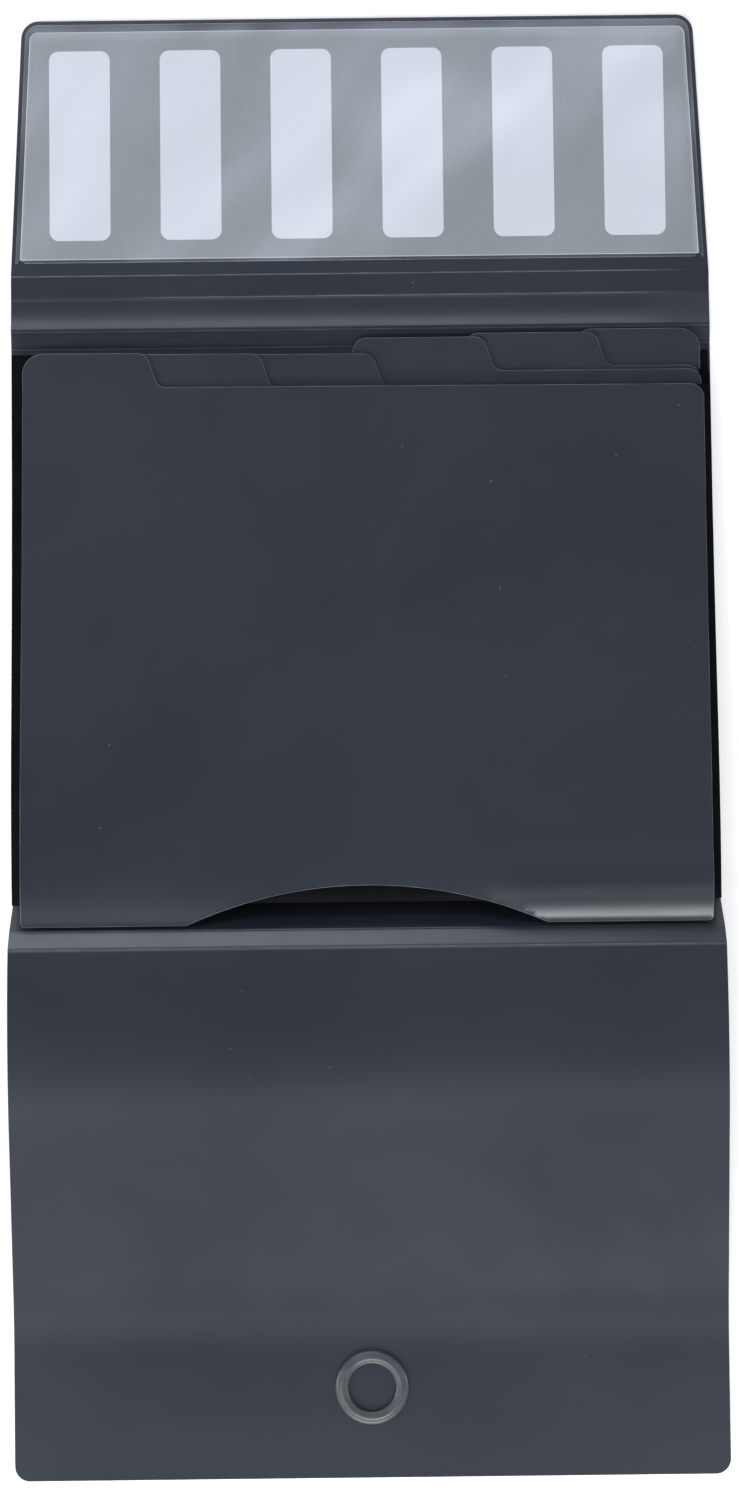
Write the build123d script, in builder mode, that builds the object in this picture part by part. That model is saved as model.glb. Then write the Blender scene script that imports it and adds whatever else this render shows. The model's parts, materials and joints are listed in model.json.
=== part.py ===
# Expanding file with a wrap-around cover, laid open on its back with its inner faces up.
# The cover is one sheet creased into a flap, a top spine, a back panel, a bottom spine and
# a front panel. The back panel carries a bellows of six tabbed dividers.
# X runs across the file, Y from the front panel to the flap, Z up.
# The origin is the centre of the back panel's underside.

import math
import os

from build123d import *

os.makedirs("parts", exist_ok=True)


# Driving dimensions, in millimetres and degrees

# cover sheet
cover_width = 330.0
cover_sheet = 0.8
back_length = 261.0
crease_gap = 0.05

# bottom spine: length and slope of each band as the file lies open, and when it is closed
spine_lower_length = 22.9
spine_lower_rise = 52.0
spine_lower_closed_rise = 55.0
spine_upper_length = 10.7
spine_upper_rise = 39.0
spine_upper_closed_rise = 90.0

# front panel: it leaves the ridge rising, humps over, falls and runs out flat on the table
front_lead = 3.0
front_start_rise = 8.0
front_hump_radius = 228.0
front_fall = 12.8
front_foot_radius = 140.0
front_foot_fall = 1.7
front_foot_length = 59.0
front_corner_radius = 7.0

# top spine: length of each band, its heading as the file lies open, and when it is closed
top_band_lengths = [8.2, 16.4, 10.5]
top_band_headings = [15.0, -4.3, 2.2]
top_band_closed_headings = [30.0, 80.0, 105.0]
flap_closed_heading = 180.4

# flap
flap_length = 123.0
flap_tip_width = 318.6
flap_corner_radius = 8.0

# closure ring on the front panel, and the stud on the flap that it presses over
ring_outer_radius = 17.0
ring_inner_radius = 11.0
ring_height = 2.8
ring_round = 1.3
ring_from_free_edge = 41.5
ring_stud_clearance = 0.3
stud_round = 0.4

# clear label pouch welded to the flap, and the index card in it
pouch_inset = 2.0
pouch_from_crease = 6.1
pouch_weld_width = 1.6
pouch_film = 0.2
pouch_corner_radius = 6.0
card_length = 109.7
card_clearance = 0.5
card_sheet = 0.3
card_air = 0.1
pouch_air = 0.15
card_corner_radius = 4.0
label_count = 6
label_width = 28.8
label_length = 91.3
label_side_margin = 11.66
label_corner_radius = 3.8
label_sheet = 0.1
label_top_margin = 9.7

# dividers
divider_count = 6
divider_width = 321.4
divider_sheet = 0.5
divider_corner_radius = 6.5
divider_foot_radius = 2.0
spine_clearance = 1.26
tab_height = 16.2
tab_width = 65.0
tab_pitch = 53.0
tab_shift = 1.2
tab_slope = 4.5
tab_top_radius = 5.0
tab_root_radius = 4.0
tab_end_radius = 9.5
front_tab_top = 126.8
tab_stagger = [0.0, 0.0, 0.0, 6.1, 8.1, 9.8]
arch_width = 166.5
arch_height = 17.9

# lie of the stack: stations along Y, height of the rearmost divider's underside there,
# and the rise from each divider to the next one in front of it
lie_stations = [-85.0, -10.0, 55.0]
rear_divider_heights = [3.0, 5.6, 5.6, 5.6, 5.6]
divider_pitches = [3.04, 3.2, 2.15, 1.45, 1.3]

# bellows film between the dividers
film_sheet = 0.2
film_clearance = 0.1
film_side_inset = 0.4
film_panel_width = 18.0
film_foot = 10.2
film_top_margin = 1.0
back_film_bottom_margin = 1.0
back_film_top_margin = 3.5


# Frame worked out from the driving dimensions

back_half = back_length / 2
inner_face = cover_sheet


def along(start, heading, length):
    """The point at a distance from start, at a heading in the YZ plane."""
    angle = math.radians(heading)
    return (start[0] + length * math.cos(angle), start[1] + length * math.sin(angle))


def mitre(bend):
    """How far a band's outer edge stands back where the crease bends outward."""
    return cover_sheet * math.tan(math.radians(max(bend, 0.0)) / 2)


crease_k1 = (-back_half, inner_face)
crease_k2 = along(crease_k1, 180 - spine_lower_rise, spine_lower_length)
crease_k3 = along(crease_k2, 180 - spine_upper_rise, spine_upper_length)
crease_c5 = (back_half, inner_face)
crease_c4 = along(crease_c5, top_band_headings[0], top_band_lengths[0])
crease_c3 = along(crease_c4, top_band_headings[1], top_band_lengths[1])
crease_c2 = along(crease_c3, top_band_headings[2], top_band_lengths[2])


# Back panel: the flat part of the cover that lies on the table

with BuildPart() as back_panel:
    with BuildSketch(Plane.XY):
        Rectangle(cover_width, back_length - 2 * crease_gap)
    extrude(amount=cover_sheet)
back_panel.part.label = "back_panel"
export_step(back_panel.part, "parts/back_panel.step")


# Spine bands: flat strips of the same sheet between two creases

def cover_band(label, start, heading, length, side, bend_start, bend_end):
    """One strip of the cover. side is +1 towards the flap and -1 towards the front panel."""
    outward = heading - 90 * side
    outer_start = along(start, outward, cover_sheet)
    inner_a = along(start, heading, crease_gap)
    inner_b = along(start, heading, length - crease_gap)
    outer_b = along(outer_start, heading, length - crease_gap - mitre(bend_end))
    outer_a = along(outer_start, heading, crease_gap + mitre(bend_start))
    with BuildPart() as band:
        with BuildSketch(Plane.YZ):
            with BuildLine():
                Polyline(inner_a, inner_b, outer_b, outer_a, close=True)
            make_face()
        extrude(amount=cover_width / 2, both=True)
    band.part.label = label
    export_step(band.part, f"parts/{label}.step")


ridge_bend_k2 = spine_lower_rise - spine_upper_rise
ridge_bend_k3 = spine_upper_rise - front_start_rise
cover_band(
    "bottom_spine_lower", crease_k1, 180 - spine_lower_rise, spine_lower_length, -1, 0, ridge_bend_k2
)
cover_band(
    "bottom_spine_upper", crease_k2, 180 - spine_upper_rise, spine_upper_length, -1,
    ridge_bend_k2, ridge_bend_k3,
)

top_bends = [
    -top_band_headings[0],
    top_band_headings[0] - top_band_headings[1],
    top_band_headings[1] - top_band_headings[2],
    top_band_headings[2],
]
for number, start in enumerate([crease_c5, crease_c4, crease_c3]):
    cover_band(
        f"top_spine_band_{number + 1}", start, top_band_headings[number],
        top_band_lengths[number], 1, top_bends[number], top_bends[number + 1],
    )


# Front panel: one sheet that humps over from the ridge and runs out flat on the table

front_heading = 180 - front_start_rise
fall_heading = 180 + front_fall
foot_heading = 180 + front_foot_fall
sin_fall = math.sin(math.radians(front_fall))
cos_fall = math.cos(math.radians(front_fall))
cos_rise = math.cos(math.radians(front_start_rise))
sin_rise = math.sin(math.radians(front_start_rise))
cos_foot = math.cos(math.radians(front_foot_fall))
sin_foot = math.sin(math.radians(front_foot_fall))
front_drop = crease_k3[1] - cover_sheet * cos_foot
curved_drop = (
    front_hump_radius * (cos_rise - cos_fall)
    + front_foot_radius * (cos_foot - cos_fall)
    + front_foot_length * sin_foot
    - front_lead * sin_rise
)
front_slope_length = (front_drop - curved_drop) / sin_fall

lead_end = along(crease_k3, front_heading, front_lead)
lead_end_outer = along(lead_end, front_heading + 90, cover_sheet)
lead_start_outer = along(
    lead_end_outer, front_heading, crease_gap + mitre(ridge_bend_k3) - front_lead
)
heading_vector = (math.cos(math.radians(front_heading)), math.sin(math.radians(front_heading)))

with BuildPart() as front_panel:
    with BuildSketch(Plane.YZ):
        with BuildLine():
            Line(along(crease_k3, front_heading, crease_gap), lead_end)
            hump = JernArc(
                lead_end, heading_vector, front_hump_radius, front_start_rise + front_fall
            )
            slope_end = along(tuple(hump @ 1)[:2], fall_heading, front_slope_length)
            slope = Line(hump @ 1, slope_end)
            bend = JernArc(
                slope @ 1, slope % 1, front_foot_radius, -(front_fall - front_foot_fall)
            )
            foot_start = tuple(bend @ 1)[:2]
            free_edge = along(foot_start, foot_heading, front_foot_length)
            foot = Line(bend @ 1, free_edge)
            free_edge_outer = along(free_edge, foot_heading + 90, cover_sheet)
            Line(free_edge, free_edge_outer)
            foot_start_outer = along(foot_start, foot_heading + 90, cover_sheet)
            Line(free_edge_outer, foot_start_outer)
            bend_outer = JernArc(
                foot_start_outer, foot % 1 * -1, front_foot_radius + cover_sheet,
                front_fall - front_foot_fall,
            )
            slope_outer_end = along(
                tuple(bend_outer @ 1)[:2], fall_heading, -front_slope_length
            )
            Line(bend_outer @ 1, slope_outer_end)
            hump_outer = JernArc(
                slope_outer_end, slope % 1 * -1, front_hump_radius - cover_sheet,
                -(front_start_rise + front_fall),
            )
            Line(hump_outer @ 1, lead_start_outer)
            Line(lead_start_outer, along(crease_k3, front_heading, crease_gap))
        make_face()
    extrude(amount=cover_width / 2, both=True)
    with BuildSketch(Plane.XY):
        with Locations((0, (crease_k3[0] + free_edge[0]) / 2)):
            front_outline = Rectangle(cover_width, crease_k3[0] - free_edge[0])
        fillet(front_outline.vertices().group_by(Axis.Y)[0], front_corner_radius)
    extrude(amount=2 * crease_k3[1], mode=Mode.INTERSECT)
front_panel.part.label = "front_panel"
export_step(front_panel.part, "parts/front_panel.step")


# Closure ring: a rounded plastic ring on the front panel's inner face

ring_seat = along(free_edge, foot_heading, -ring_from_free_edge)
ring_plane = Plane(
    origin=(0, ring_seat[0], ring_seat[1]), x_dir=(1, 0, 0), z_dir=(0, -sin_foot, cos_foot)
)
with BuildPart() as closure_ring:
    with BuildSketch(ring_plane):
        Circle(ring_outer_radius)
        Circle(ring_inner_radius, mode=Mode.SUBTRACT)
    extrude(amount=ring_height)
    ring_top = closure_ring.faces().filter_by(ring_plane).sort_by(Axis.Z)[-1]
    fillet(ring_top.edges(), ring_round)
closure_ring.part.label = "closure_ring"
export_step(closure_ring.part, "parts/closure_ring.step")


# Flap: the free end of the cover, a little narrower at its tip

flap_tip = crease_c2[0] + flap_length
with BuildPart() as flap:
    with BuildSketch(Plane.XY.offset(crease_c2[1] - cover_sheet)):
        with BuildLine():
            Polyline(
                (-cover_width / 2, crease_c2[0] + crease_gap + mitre(top_bends[3])),
                (cover_width / 2, crease_c2[0] + crease_gap + mitre(top_bends[3])),
                (flap_tip_width / 2, flap_tip),
                (-flap_tip_width / 2, flap_tip),
                close=True,
            )
        make_face()
        fillet(vertices().group_by(Axis.Y)[-1], flap_corner_radius)
    extrude(amount=cover_sheet)
flap.part.label = "flap"
export_step(flap.part, "parts/flap.step")


# Closure stud: it stands on the flap's outer face where the closed ring comes down on it

def closed_point(start, headings, lengths):
    """The far end of a run of bands when the file is closed."""
    point = start
    for heading, length in zip(headings, lengths):
        point = along(point, heading, length)
    return point


closed_c2 = closed_point(crease_c5, top_band_closed_headings, top_band_lengths)
closed_k3 = closed_point(
    crease_k1,
    [180 - spine_lower_closed_rise, 180 - spine_upper_closed_rise],
    [spine_lower_length, spine_upper_length],
)
ring_reach = math.dist(crease_k3, ring_seat)
stud_from_crease = closed_c2[0] - closed_k3[0] - ring_reach
stud_height = crease_c2[1] - cover_sheet
with BuildPart() as closure_stud:
    with BuildSketch(Plane.XY):
        with Locations((0, crease_c2[0] + stud_from_crease)):
            Circle(ring_inner_radius - ring_stud_clearance)
    extrude(amount=stud_height)
    fillet(closure_stud.edges().sort_by(Axis.Z)[0], stud_round)
closure_stud.part.label = "closure_stud"
export_step(closure_stud.part, "parts/closure_stud.step")


# Label pouch: clear film welded to the flap on three sides and open towards the crease

def flap_half_width(y):
    """Half the flap's width at a place along it."""
    share = (y - crease_c2[0]) / flap_length
    return (cover_width + share * (flap_tip_width - cover_width)) / 2


def flap_taper_outline(bottom_y, top_y, inset):
    """Corners of a shape that follows the flap's taper, inset from its sides."""
    bottom_x = flap_half_width(bottom_y) - inset
    top_x = flap_half_width(top_y) - inset
    return [(-bottom_x, bottom_y), (bottom_x, bottom_y), (top_x, top_y), (-top_x, top_y)]


pouch_bottom = crease_c2[0] + pouch_from_crease
pouch_top = flap_tip - pouch_inset
pocket_inset = pouch_inset + pouch_weld_width
pocket_top = pouch_top - pouch_weld_width
card_floor = crease_c2[1] + card_air
card_top_face = card_floor + card_sheet
pocket_height = card_air + card_sheet + label_sheet + pouch_air
with BuildPart() as label_pouch:
    with BuildSketch(Plane.XY.offset(crease_c2[1])):
        with BuildLine():
            Polyline(*flap_taper_outline(pouch_bottom, pouch_top, pouch_inset), close=True)
        make_face()
        fillet(vertices().group_by(Axis.Y)[-1], pouch_corner_radius)
    extrude(amount=pocket_height + pouch_film)
    with BuildSketch(Plane.XY.offset(crease_c2[1])):
        with BuildLine():
            Polyline(
                *flap_taper_outline(pouch_bottom - pouch_weld_width, pocket_top, pocket_inset),
                close=True,
            )
        make_face()
        fillet(vertices().group_by(Axis.Y)[-1], card_corner_radius)
    extrude(amount=pocket_height, mode=Mode.SUBTRACT)
label_pouch.part.label = "label_pouch"
export_step(label_pouch.part, "parts/label_pouch.step")


# Index card: it slides in the pouch and carries one writing label for each pocket

card_bottom = pouch_bottom + card_clearance
card_top = card_bottom + card_length
with BuildPart() as index_card:
    with BuildSketch(Plane.XY.offset(card_floor)):
        with BuildLine():
            Polyline(
                *flap_taper_outline(card_bottom, card_top, pocket_inset + card_clearance),
                close=True,
            )
        make_face()
        fillet(vertices(), card_corner_radius)
    extrude(amount=card_sheet)
index_card.part.label = "index_card"
export_step(index_card.part, "parts/index_card.step")

label_y = card_top - label_top_margin - label_length / 2
label_row_width = 2 * (flap_half_width(label_y) - pocket_inset - card_clearance - label_side_margin)
label_pitch = (label_row_width - label_width) / (label_count - 1)
for number in range(label_count):
    label_x = (number - (label_count - 1) / 2) * label_pitch
    with BuildPart() as index_label:
        with BuildSketch(Plane.XY.offset(card_top_face)):
            with Locations((label_x, label_y)):
                RectangleRounded(label_width, label_length, label_corner_radius)
        extrude(amount=label_sheet)
    index_label.part.label = f"index_label_{number + 1}"
    export_step(index_label.part, f"parts/index_label_{number + 1}.step")


# Dividers: equal tabbed sheets that lie in a leaning, gently humped stack.
# Divider 1 is the front one. Their lower edges follow the slope of the bottom spine.

def divider_rank(number):
    """How many dividers lie behind this one."""
    return divider_count - number


def divider_low_height(number):
    """Height of a divider's underside at its lower edge."""
    return rear_divider_heights[0] + divider_rank(number) * divider_pitches[0]


def divider_low_edge(number):
    """Where a divider's lower edge lies, clear of the sloping spine band."""
    slope = math.radians(spine_lower_rise)
    lean = (divider_low_height(number) - inner_face) / math.tan(slope)
    return -back_half - lean + spine_clearance / math.sin(slope)


def divider_tab_top(number):
    """Where a divider's tab ends."""
    return front_tab_top + tab_stagger[number - 1]


def divider_line(number, lift):
    """Points along a divider's underside, lifted by a distance."""
    stations = [divider_low_edge(number), *lie_stations, divider_tab_top(number)]
    return [
        (y, rear + divider_rank(number) * pitch + lift)
        for y, rear, pitch in zip(stations, rear_divider_heights, divider_pitches)
    ]


def curved_slab(lower_points, upper_points, half_width):
    """A solid between two lines in the YZ plane, across the whole width."""
    with BuildPart() as slab:
        with BuildSketch(Plane.YZ):
            with BuildLine():
                lower = Spline(*lower_points) if len(lower_points) > 2 else Line(*lower_points)
                upper = Spline(*upper_points)
                Line(lower @ 0, upper @ 0)
                Line(lower @ 1, upper @ 1)
            make_face()
        extrude(amount=half_width, both=True)
    return slab.part


stack_ceiling = 2 * (rear_divider_heights[1] + divider_count * divider_pitches[1])
same_place = 0.1


def near(outline, corner):
    """The outline's present corner at the same place as an earlier one."""
    return outline.vertices().sort_by_distance(corner)[0]


def divider_outline(number):
    """A divider's outline from above: sheet, tab and the arch in its lower edge."""
    low = divider_low_edge(number)
    tab_top = divider_tab_top(number)
    shoulder = tab_top - tab_height
    tab_x = (number - (divider_count + 1) / 2) * tab_pitch + tab_shift
    half = divider_width / 2
    arch_radius = (arch_width**2 / 4 + arch_height**2) / (2 * arch_height)
    with BuildSketch(Plane.XY) as outline:
        with Locations((0, (low + shoulder) / 2)):
            Rectangle(divider_width, shoulder - low)
        with BuildLine():
            Polyline(
                (max(tab_x - tab_width / 2 - tab_slope / 2, -half), shoulder - tab_height),
                (min(tab_x + tab_width / 2 + tab_slope / 2, half), shoulder - tab_height),
                (min(tab_x + tab_width / 2 + tab_slope / 2, half), shoulder),
                (min(tab_x + tab_width / 2 - tab_slope / 2, half), tab_top),
                (max(tab_x - tab_width / 2 + tab_slope / 2, -half), tab_top),
                (max(tab_x - tab_width / 2 - tab_slope / 2, -half), shoulder),
                close=True,
            )
        make_face()
        with Locations((0, low + arch_height - arch_radius)):
            Circle(arch_radius, mode=Mode.SUBTRACT)
        corners = outline.vertices()
        for corner in corners:
            at_side = abs(abs(corner.X) - half) < same_place
            if abs(corner.Y - tab_top) < same_place:
                fillet(near(outline, corner), tab_end_radius if at_side else tab_top_radius)
            elif abs(corner.Y - shoulder) < same_place and at_side:
                fillet(near(outline, corner), divider_corner_radius)
            elif abs(corner.Y - shoulder) < same_place:
                fillet(near(outline, corner), tab_root_radius)
            elif at_side:
                fillet(near(outline, corner), divider_foot_radius)
    return outline.sketch


for number in range(1, divider_count + 1):
    slab = curved_slab(divider_line(number, 0), divider_line(number, divider_sheet), divider_width)
    shape = divider_outline(number)
    with BuildPart() as divider:
        add(slab)
        with BuildSketch(Plane.XY):
            add(shape)
        extrude(amount=stack_ceiling, mode=Mode.INTERSECT)
    divider.part.label = f"divider_{number}"
    export_step(divider.part, f"parts/divider_{number}.step")


# Back film: the bellows' own back, lying on the back panel

film_half_width = cover_width / 2 - film_side_inset
back_film_low = -back_half + back_film_bottom_margin
back_film_high = back_half - back_film_top_margin
with BuildPart() as back_film:
    with BuildSketch(Plane.XY.offset(inner_face)):
        with Locations((0, (back_film_low + back_film_high) / 2)):
            Rectangle(2 * film_half_width, back_film_high - back_film_low)
    extrude(amount=film_sheet)
back_film.part.label = "back_film"
export_step(back_film.part, "parts/back_film.step")


# Gussets: one folded film for each pocket, shut at the left, the right and the bottom.
# Each hugs the underside of its divider and the top of the next one behind it.

gusset_top = front_tab_top - film_top_margin

for number in range(1, divider_count + 1):
    upper_line = divider_line(number, -film_clearance)
    upper_inside = divider_line(number, -film_clearance - film_sheet)
    if number < divider_count:
        lower_line = divider_line(number + 1, divider_sheet + film_clearance)
        lower_inside = divider_line(number + 1, divider_sheet + film_clearance + film_sheet)
    else:
        film_floor = inner_face + film_sheet + film_clearance
        lower_line = [(upper_line[0][0], film_floor), (upper_line[-1][0], film_floor)]
        lower_inside = [(y, z + film_sheet) for y, z in lower_line]
    outer_slab = curved_slab(lower_line, upper_line, film_half_width)
    inner_slab = curved_slab(lower_inside, upper_inside, film_half_width - film_sheet)
    fold = divider_low_edge(number) + film_foot
    with BuildPart() as hollow:
        add(inner_slab)
        with BuildSketch(Plane.XY):
            with Locations((0, (fold + film_sheet + back_length) / 2)):
                Rectangle(cover_width, back_length - fold - film_sheet)
        extrude(amount=stack_ceiling, mode=Mode.INTERSECT)
    with BuildPart() as gusset:
        add(outer_slab)
        with BuildSketch(Plane.XY):
            with Locations((0, (fold + gusset_top) / 2)):
                Rectangle(2 * film_half_width, gusset_top - fold)
        extrude(amount=stack_ceiling, mode=Mode.INTERSECT)
        add(hollow.part, mode=Mode.SUBTRACT)
        with BuildSketch(Plane.XY):
            with Locations((0, (fold + film_panel_width + back_length) / 2)):
                Rectangle(
                    2 * (film_half_width - film_panel_width),
                    back_length - fold - film_panel_width,
                )
        extrude(amount=stack_ceiling, mode=Mode.SUBTRACT)
    gusset.part.label = f"gusset_{number}"
    export_step(gusset.part, f"parts/gusset_{number}.step")


# What the joints need to know

print("creases", crease_k1, crease_k2, crease_k3, crease_c5, crease_c4, crease_c3, crease_c2)
print("front free edge", free_edge, "slope length", front_slope_length)
print("ring seat", ring_seat, "ring reach", ring_reach, "stud from crease", stud_from_crease)
print("leaf hinge line", divider_low_edge(1), divider_low_height(1))
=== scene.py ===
# An expanding file with a wrap-around cover, laid open on its back on a pale table.
# Lengths are in metres. X runs across the file, Y from the front panel to the flap, Z up.

import json
import math

import bmesh
import bpy
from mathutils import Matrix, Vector, noise


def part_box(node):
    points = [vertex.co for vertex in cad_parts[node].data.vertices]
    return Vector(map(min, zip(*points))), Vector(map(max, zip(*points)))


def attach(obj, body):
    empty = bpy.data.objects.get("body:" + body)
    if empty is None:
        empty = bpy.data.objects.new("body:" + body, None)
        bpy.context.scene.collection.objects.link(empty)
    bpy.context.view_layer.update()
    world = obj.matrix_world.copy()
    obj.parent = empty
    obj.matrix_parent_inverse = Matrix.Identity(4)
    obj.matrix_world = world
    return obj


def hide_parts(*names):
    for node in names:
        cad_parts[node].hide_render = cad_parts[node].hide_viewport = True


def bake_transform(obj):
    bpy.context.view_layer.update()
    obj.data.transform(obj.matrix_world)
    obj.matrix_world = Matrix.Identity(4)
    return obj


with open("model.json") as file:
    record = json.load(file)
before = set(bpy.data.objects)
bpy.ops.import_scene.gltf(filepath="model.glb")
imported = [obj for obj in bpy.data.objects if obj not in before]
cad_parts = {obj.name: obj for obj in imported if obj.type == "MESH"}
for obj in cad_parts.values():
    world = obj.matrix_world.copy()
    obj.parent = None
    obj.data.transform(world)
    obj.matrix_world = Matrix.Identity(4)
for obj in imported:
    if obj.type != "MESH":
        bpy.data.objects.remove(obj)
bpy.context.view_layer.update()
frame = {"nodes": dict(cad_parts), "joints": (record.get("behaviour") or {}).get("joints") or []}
mm = 0.001


# Camera: it hangs about one and a half metres over the file and looks almost straight
# down, tipped a little towards the flap, with the file a touch askew in the picture.

picture_long_side = 1500
focal_length_in_pixels = 3202
sensor_width = 36.0
camera_place = (0.87 * mm, -168.0 * mm, 1496.2 * mm)
camera_tip = math.radians(4.1)
camera_twist = math.radians(-0.65)

camera = bpy.data.objects.new("overhead_camera", bpy.data.cameras.new("overhead_camera"))
camera.data.sensor_width = sensor_width
camera.data.lens = focal_length_in_pixels / picture_long_side * sensor_width
camera.location = camera_place
camera.rotation_euler = (camera_tip, 0, camera_twist)
bpy.context.scene.collection.objects.link(camera)
bpy.context.scene.camera = camera


# Table and lamps: a wide, matt white table. Five soft boxes stand round the file, and three
# washes are placed so that its slopes, its creases and the front foot mirror them.

table_reach = 30.0
table_drop = 0.2 * mm
table_glow = 0.4
studio_glow = 0.13


def new_finish(name):
    """A material and its main shader."""
    finish = bpy.data.materials.new(name)
    finish.use_nodes = True
    return finish, finish.node_tree.nodes["Principled BSDF"]


table_mesh = bpy.data.meshes.new("table")
table_sides = ((-1, -1), (1, -1), (1, 1), (-1, 1))
table_corners = [(x * table_reach, y * table_reach, -table_drop) for x, y in table_sides]
table_mesh.from_pydata(table_corners, [], [(0, 1, 2, 3)])
table = bpy.data.objects.new("table", table_mesh)
bpy.context.scene.collection.objects.link(table)
table_white, table_shader = new_finish("table_white")
for key, value in (
    ("Base Color", (0.86, 0.865, 0.87, 1)),
    ("Roughness", 0.9),
    ("Emission Color", (1, 1, 1, 1)),
    ("Emission Strength", table_glow),
):
    table_shader.inputs[key].default_value = value
table_mesh.materials.append(table_white)


def soft_box(name, place, aim, width, height, watts, tint=(1, 1, 1)):
    """A rectangular lamp at a place, turned towards a point."""
    lamp = bpy.data.lights.new(name, "AREA")
    lamp.shape = "RECTANGLE"
    lamp.size = width
    lamp.size_y = height
    lamp.energy = watts
    lamp.color = tint
    holder = bpy.data.objects.new(name, lamp)
    holder.location = place
    holder.rotation_euler = (Vector(aim) - Vector(place)).to_track_quat("-Z", "Y").to_euler()
    holder.visible_camera = False
    bpy.context.scene.collection.objects.link(holder)


soft_box("flap_soft_box", (-0.2, 1.25, 1.75), (0, 0, 0), 1.5, 0.6, 10, (0.94, 0.97, 1.06))
soft_box("corner_soft_box", (0.4, -1.65, 1.1), (0.05, -0.15, 0), 0.5, 0.45, 8.6)
soft_box("front_soft_box", (-0.3, -1.9, 0.95), (0, -0.1, 0), 1.3, 0.8, 29)
soft_box("left_soft_box", (-1.9, -0.3, 0.9), (0, -0.1, 0), 0.8, 1.0, 20)
soft_box("right_soft_box", (1.9, -0.3, 0.9), (0, -0.1, 0), 0.8, 1.0, 12)
soft_box("left_wash", (-1.0, -1.0, 1.7), (0, -0.25, 0), 0.6, 0.8, 5)
soft_box("foot_wash", (0.15, -1.03, 2.2), (0, -0.3, 0), 1.4, 0.25, 2.1)
soft_box("far_wall_wash", (-0.57, 2.2, 0.45), (0, 0, 0), 1.7, 0.8, 19, (0.88, 0.95, 1.1))

studio = bpy.data.worlds.new("studio")
studio.use_nodes = True
background = studio.node_tree.nodes["Background"]
background.inputs["Color"].default_value = (0.95, 0.97, 1.0, 1)
background.inputs["Strength"].default_value = studio_glow
bpy.context.scene.world = studio
bpy.context.scene.view_settings.view_transform = "Standard"


# Back panel: the part of the cover that lies on the table. The cover is one die-cut sheet
# of extruded polypropylene, 0.8 mm thick, dark slate, satin on both faces and creased by
# hot bars. Each panel of it is made here as a strip that follows its line in the YZ plane.

back_low, back_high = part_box("back_panel")
cover_half_width = back_high.x
cover_sheet = back_high.z - back_low.z
cut_round = 0.14 * mm
cut_edge_band = 0.2 * mm
cut_round_steps = 3
# The outermost columns of a strip are painted half pale: partly whitened cut edge, partly a
# painted highlight along the side edges.
edge_whitening_and_highlight = 0.5
crease_reach = 1.5 * mm
column_pitch = 7 * mm
creases = {
    joint["name"]: Vector((joint["pos_m"][1], joint["pos_m"][2]))
    for joint in frame["joints"]
    if joint["type"] == "hinge"
}


def ripple(x, y, size, height, seed):
    """A slow unevenness of a moulded or extruded sheet."""
    return height * noise.noise(Vector((x / size, y / size, seed)))


def ease(value):
    """Runs smoothly from 0 to 1 as value does."""
    value = min(max(value, 0.0), 1.0)
    return value * value * (3 - 2 * value)


def finish_mesh(name, points, faces, whitening_and_highlight, sharp_faces=()):
    """Makes a smooth piece. The given paleness of each point marks cut edges and creases, painted
    pale: partly whitened plastic, partly a painted highlight.
    """
    mesh = bpy.data.meshes.new(name)
    mesh.from_pydata([tuple(point) for point in points], [], faces)
    mesh.polygons.foreach_set("use_smooth", [True] * len(mesh.polygons))
    mesh.attributes.new("whitening_and_highlight", "FLOAT", "POINT").data.foreach_set("value", whitening_and_highlight)
    flat_edges = {key for face in sharp_faces for key in mesh.polygons[face].edge_keys}
    for edge in mesh.edges:
        edge.use_edge_sharp = edge.key in flat_edges
    mesh.update()
    piece = bpy.data.objects.new(name, mesh)
    bpy.context.scene.collection.objects.link(piece)
    return piece


def rim_arc(round_by):
    """How far out and how far down a rounded cut edge goes, from its top to its middle."""
    arc = []
    for step in range(1, cut_round_steps + 1):
        angle = math.radians(90 * step / cut_round_steps)
        arc.append((round_by * math.sin(angle), round_by * (1 - math.cos(angle))))
    return arc


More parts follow.
